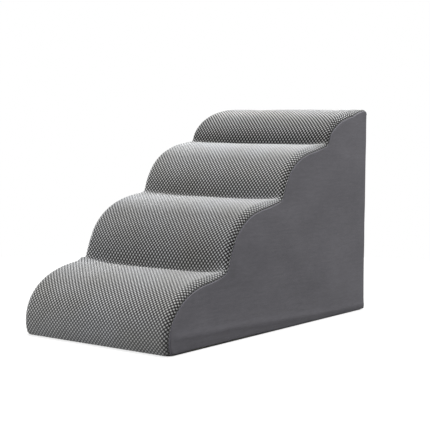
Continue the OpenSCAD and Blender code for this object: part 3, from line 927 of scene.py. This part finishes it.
def tread_fabric():
    """Light nubs in diagonal rows, with a dark pit where four of them meet, deepened by painted
    shade.
    """
    s = Shader("tread_fabric", Roughness=0.95, Sheen_Weight=1.0, Sheen_Roughness=0.35,
               Specular_IOR_Level=0.15)
    where = s.weave_place()
    fuzz = s.noise(where, 5.5, 3)
    jitter = s.times(s.math("SUBTRACT", fuzz, 0.5), 0.16)
    split = s.split(where)
    x, y = s.math("ADD", split[0], jitter), split[1]
    ridges = []
    for across in (s.math("ADD", x, y), s.math("SUBTRACT", x, y)):
        wave = s.math("ABSOLUTE", s.math("COSINE", s.times(across, math.pi)))
        ridges.append(s.math("POWER", wave, WAVE_POWER))
    mean = s.times(s.math("ADD", *ridges), 0.5)
    height = s.math("POWER", mean, RELIEF_POWER)
    # Greys by height: the weave's own light and dark, with painted shade in the pits
    crisp, low_contrast = s.ramp(height, *CRISP), s.ramp(height, *LOW_CONTRAST)
    along = s.math("DIVIDE", y, round(STEPS.length / CELL_LENGTH))
    colour = s.tint(low_contrast, crisp, s.ramp(along, *CRISP_PART), "MIX")
    # Painted light: a light grey mixed in on the front's foot and at the rear of each tread
    colour = s.tint(colour, PAINTED_LIGHT_COLOUR, s.ramp(along, *painted_light_places()), "MIX")
    top_step = s.ramp(along, *STARK_PART)
    stark = s.ramp(height, *STARK)
    edges = s.ramp(s.math("DIVIDE", split[0], CELLS_ACROSS), *STARK_EDGES)
    colour = s.tint(colour, stark, s.math("MAXIMUM", edges, top_step), "MIX")
    # Painted shade and light along the strip
    colour = s.tint(colour, s.ramp(along, *PAINTED_SHADING))
    hairs = s.noise(where, 38, 4, 0.7)
    colour = s.varied(colour, hairs, 0.72, 1.2)
    patches = s.noise(s.place(), 9, 2)
    colour = s.varied(colour, patches, (0.93, 0.92, 0.89), (1.04, 1.05, 1.07))
    soft_fuzz, stark_fuzz = s.ramp(height, *SOFT_FUZZ), s.ramp(height, *STARK_FUZZ)
    s.set("Sheen Tint", s.tint(soft_fuzz, stark_fuzz, top_step, "MIX"))
    low = s.bump(height, 0.0006, 0.7)
    return s.finish(colour, s.bump(hairs, 0.0004, 0.6, low))


def nap_fabric(name, colour):
    """Short brushed nap like suede, with level streaks and a dark line at the floor, standing for
    the dark base hem and painted shade where the cloth turns under.
    """
    s = Shader(name, Roughness=0.9, Sheen_Weight=0.2, Sheen_Roughness=0.6,
               Specular_IOR_Level=0.12)
    where = s.place()
    streaks = s.noise(s.place((14, 14, 150)), 1, 4, 0.6)
    clouds = s.noise(s.place((5, 5, 10)), 1, 4, 0.6)
    mottle = s.noise(s.place((50, 50, 220)), 1, 4, 0.65)
    grain = s.noise(where, 900, 3, 0.7)
    tone = s.varied(colour, streaks, 0.94, 1.06)
    tone = s.varied(tone, clouds, (0.86, 0.86, 0.87), (1.14, 1.14, 1.13))
    tone = s.varied(tone, mottle, (0.9, 0.9, 0.89), (1.1, 1.1, 1.12))
    tone = s.varied(tone, grain, 0.86, 1.12)
    # The dark hem and painted shade: darker in the lowest few millimetres, along the floor
    centimetres_up = s.times(s.split(where)[2], 100)
    tone = s.tint(tone, s.ramp(centimetres_up, (0.0, 0.1), (0.2, 0.16), (0.36, 1.0)))
    soft = s.bump(streaks, 0.0006, 0.4)
    return s.finish(tone, s.bump(grain, 0.0003, 0.5, soft))


def plain_weave(name, colour, pitch):
    """A plain weave of threads over and under each other."""
    s = Shader(name, Roughness=0.85, Sheen_Weight=0.15, Specular_IOR_Level=0.2)
    where = s.place()
    split = s.split(where)
    x, y = (s.math("SINE", s.times(split[k], TAU / pitch)) for k in (0, 1))
    height = s.math("ADD", s.times(s.times(x, y), 0.5), 0.5)
    fuzz = s.noise(where, 700, 3, 0.6)
    tone = s.tint(colour, s.ramp(height, (0.0, 0.6), (1.0, 1.25)))
    tone = s.varied(tone, fuzz, 0.85, 1.15)
    return s.finish(tone, s.bump(height, 0.0004, 0.6))


def tape_weave():
    """Woven zip tape: fine ribs along it, crossed by slanting threads."""
    s = Shader("zip_tape", Roughness=0.75, Sheen_Weight=0.2, Specular_IOR_Level=0.25)
    across, along, _ = s.split(s.weave_place())
    rib, thread = 0.0011, 0.0009
    ribs = s.math("SINE", s.times(across, TAU / rib))
    zigzag = s.math("PINGPONG", across, rib / 2)
    slant = s.math("SINE", s.times(s.math("ADD", along, zigzag), TAU / thread))
    mean = s.times(s.math("ADD", ribs, slant), 0.5)
    height = s.times(s.math("ADD", mean, 1), 0.5)
    tone = s.ramp(height, (0.0, (0.012, 0.012, 0.013)), (0.5, (0.032, 0.032, 0.034)),
                  (1.0, (0.065, 0.065, 0.068)))
    return s.finish(tone, s.bump(height, 0.0003, 0.7))


def open_foam(name, colour):
    """Cut open-cell foam: small pores and a slight yellowing."""
    s = Shader(name, Roughness=0.95, Specular_IOR_Level=0.1)
    where = s.place()
    pores = s.add("TexVoronoi", {"Vector": where, "Scale": 700}, feature="F1")
    pores = pores.outputs["Distance"]
    patches = s.noise(where, 12, 3)
    tone = s.tint(colour, s.ramp(pores, (0.0, 0.55), (0.35, 1.0), (0.8, 1.06)))
    tone = s.varied(tone, patches, (0.94, 0.92, 0.88), (1.03, 1.02, 1.0))
    return s.finish(tone, s.bump(pores, 0.0006, 0.8))


def thread_material(colour):
    s = Shader("sewing_thread", Roughness=0.6, Sheen_Weight=0.3, Specular_IOR_Level=0.3)
    twist = s.noise(s.place(), 2500, 2)
    return s.finish(s.varied(colour, twist, 0.75, 1.2), s.bump(twist, 0.0001, 0.6))


def moulded_plastic():
    s = Shader("zip_teeth_plastic", Roughness=0.42, Specular_IOR_Level=0.4)
    where = s.place()
    mottle = s.noise(where, 160, 3)
    fine = s.noise(where, 1800, 2)
    tone = s.varied((0.03, 0.03, 0.032, 1), mottle, 0.8, 1.25)
    rough = s.ramp(fine, (0.3, 0.36), (0.7, 0.5))
    return s.finish(tone, s.bump(fine, 0.00004, 0.5), rough)


def painted_metal():
    """Dark satin enamel over cast metal, with fine scuffs."""
    s = Shader("zip_slider_enamel", Metallic=0.55, Coat_Weight=0.25, Coat_Roughness=0.25)
    where = s.place()
    scuffs = s.noise(s.place((1, 1, 0.12)), 1400, 4, 0.7)
    blotches = s.noise(where, 260, 3)
    tone = s.ramp(scuffs, (0.3, (0.028, 0.028, 0.03)), (0.66, (0.05, 0.05, 0.053)),
                  (0.74, (0.16, 0.16, 0.165)))
    tone = s.varied(tone, blotches, 0.85, 1.15)
    rough = s.ramp(scuffs, (0.3, 0.32), (0.75, 0.55))
    return s.finish(tone, s.bump(scuffs, 0.00003, 0.5), rough)


def bare_steel():
    s = Shader("zip_stop_steel", Metallic=1.0)
    grain = s.noise(s.place((1, 1, 0.1)), 2200, 4, 0.7)
    tone = s.ramp(grain, (0.3, (0.3, 0.3, 0.31)), (0.7, (0.55, 0.55, 0.56)))
    rough = s.ramp(grain, (0.3, 0.3), (0.7, 0.5))
    return s.finish(tone, s.bump(grain, 0.00003, 0.5), rough)


def grip_rubber():
    s = Shader("grip_dots", Roughness=0.5, Specular_IOR_Level=0.4)
    dust = s.noise(s.place(), 600, 4)
    tone = s.ramp(dust, (0.3, (0.012, 0.012, 0.012)), (0.7, (0.045, 0.045, 0.045)))
    return s.finish(tone, s.bump(dust, 0.0001, 0.5))


# Assembly

SIDE_COLOUR = (0.101, 0.0975, 0.112, 1)
BASE_COLOUR = (0.035, 0.035, 0.037, 1)
THREAD_COLOUR = (0.09, 0.088, 0.094, 1)
FIRM_FOAM_COLOUR = (0.72, 0.66, 0.48, 1)
SOFT_FOAM_COLOUR = (0.85, 0.82, 0.7, 1)


def keep_node(name, material, bevel=0.3):
    """A rigid CAD node that stays, with softened edges and a finished material."""
    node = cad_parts[name]
    node.data.materials.clear()
    node.data.materials.append(material)
    edge = node.modifiers.new("edges", "BEVEL")
    edge.width, edge.segments, edge.limit_method = bevel / MM_PER_M, 2, "ANGLE"
    edge.angle_limit = math.radians(40)
    edge.harden_normals = True


def dress():
    nap = nap_fabric("side_nap", SIDE_COLOUR)
    strip = tread_cover([tread_fabric()])
    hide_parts("tread_cover")

    for side, word, seed in ((1, "right", 11), (-1, "left", 17)):
        panel = side_panel(f"{word}_side_cloth", side, seed, [nap])
        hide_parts(f"{word}_side_panel")

    base = base_panel([plain_weave("base_cloth", BASE_COLOUR, 0.0016), grip_rubber()])
    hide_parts("base_panel")

    stitching = back_stitching([thread_material(THREAD_COLOUR)])
    flap, border, patches = back_flap([nap]), back_frame([nap]), end_tabs([nap])
    for piece, node in ((flap, "back_panel"), (border, "back_border"),
                        (patches, "zipper_end_tabs")):
        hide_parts(node)
    for side, word in ((1, "outer"), (-1, "inner")):
        tape = zip_tape(f"zipper_{word}_tape_cloth", side, [tape_weave()])
        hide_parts(f"zipper_tape_{word}")

    firm = open_foam("firm_foam", FIRM_FOAM_COLOUR)
    for k, word in enumerate(("bottom", "second", "third", "top")):
        slab = foam_slab(f"foam_slab_{word}", k, [firm])
        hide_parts(f"foam_slab_{word}")
    layer = comfort_layer([open_foam("soft_foam", SOFT_FOAM_COLOUR)])
    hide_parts("comfort_layer")

    plastic, enamel, steel = moulded_plastic(), painted_metal(), bare_steel()
    keep_node("zipper_teeth_outer", plastic)
    keep_node("zipper_teeth_inner", plastic)
    keep_node("zipper_top_stops", steel)
    keep_node("zipper_bottom_stop", steel)
    keep_node("zipper_slider", enamel, 0.25)
    keep_node("zipper_pull", enamel)


# Studio

def floor():
    """A floor that looks white, gives back little light and is clear from below."""
    mesh = bpy.data.meshes.new("floor")
    reach, low, sides = 1.4, -0.0004, 96
    rim = level(reach * circle(sides), low)
    mesh.from_pydata(rim.tolist(), [], [list(range(sides))])
    s = Shader("floor", Roughness=0.9, Specular_IOR_Level=0.1, Base_Color=(0.2, 0.2, 0.2, 1),
               Emission_Color=(1, 1, 1, 1))
    seen = s.add("LightPath", {}).outputs["Is Camera Ray"]
    s.set("Emission Strength", s.times(seen, 0.75))
    clear = s.add("BsdfTransparent", {})
    below = s.add("NewGeometry", {}).outputs["Backfacing"]
    mix = s.add("MixShader", {0: below, 1: s.surface.outputs[0], 2: clear.outputs[0]})
    s.links.new(mix.outputs[0], s.nodes["Material Output"].inputs["Surface"])
    mesh.materials.append(s.material)
    added("floor", mesh)


def light(name, place, target, size, power):
    """A square lamp that the camera doesn't see."""
    data = bpy.data.lights.new(name, "AREA")
    data.shape, data.size, data.energy = "SQUARE", size, power
    obj = added(name, data)
    obj.location = place
    obj.rotation_euler = (Vector(target) - Vector(place)).to_track_quat("-Z", "Y").to_euler()
    obj.visible_camera = False
    return obj


def studio():
    """A world that looks white and lights little, and four lamps, one for the base alone."""
    world = bpy.data.worlds.new("studio")
    scene.world = world
    world.use_nodes = True
    nodes, links = world.node_tree.nodes, world.node_tree.links
    fill, seen = nodes["Background"], nodes.new("ShaderNodeBackground")
    for background, strength in ((fill, 0.1), (seen, 1.0)):
        background.inputs["Color"].default_value = (1, 1, 1, 1)
        background.inputs["Strength"].default_value = strength
    mix, path = nodes.new("ShaderNodeMixShader"), nodes.new("ShaderNodeLightPath")
    links.new(path.outputs["Is Camera Ray"], mix.inputs[0])
    links.new(fill.outputs[0], mix.inputs[1])
    links.new(seen.outputs[0], mix.inputs[2])
    links.new(mix.outputs[0], nodes["World Output"].inputs["Surface"])
    light("overhead", (0, 0.3, 5), (0, 0, 0), 4.5, 720)
    light("front", (-1.2, -2.4, 0.25), (0, 0, 0.1), 1.8, 96)
    light("right", (1.5, 1.2, 1.6), (0.2, 0.2, 0.4), 0.9, 16)
    underneath = light("underneath", (0, 0, -2), (0, 0, 0), 1.5, 60)
    lit = bpy.data.collections.new("underside")
    lit.objects.link(bpy.data.objects["base_panel_cloth"])
    underneath.light_linking.receiver_collection = lit
    underneath.light_linking.blocker_collection = lit
    scene.view_settings.view_transform = "Standard"


# The photograph's camera, fitted to the stairs: turns in degrees, place in mm
CAMERA_TURNS = (36.77, 4.52, -0.42)
CAMERA_PLACE = (1589.4, -1715.0, 453.2)
FOCAL_PIXELS, PHOTO_PIXELS = 1150.5, 430
SENSOR_WIDTH = 36


def camera():
    yaw, pitch, roll = (math.radians(a) for a in CAMERA_TURNS)
    flat = math.cos(pitch)
    forward = Vector((-math.sin(yaw) * flat, math.cos(yaw) * flat, -math.sin(pitch)))
    right = Vector((math.cos(yaw), math.sin(yaw), 0))
    down = forward.cross(right)
    right, down = (math.cos(roll) * right + math.sin(roll) * down,
                   math.cos(roll) * down - math.sin(roll) * right)
    data = bpy.data.cameras.new("camera")
    data.sensor_width, data.lens = SENSOR_WIDTH, SENSOR_WIDTH * FOCAL_PIXELS / PHOTO_PIXELS
    data.clip_end = 100
    obj = added("camera", data)
    turn = Matrix((right, -down, -forward)).transposed().to_4x4()
    obj.matrix_world = Matrix.Translation(placed(CAMERA_PLACE)) @ turn
    scene.camera = obj


dress()
floor()
studio()
camera()
bpy.context.view_layer.update()
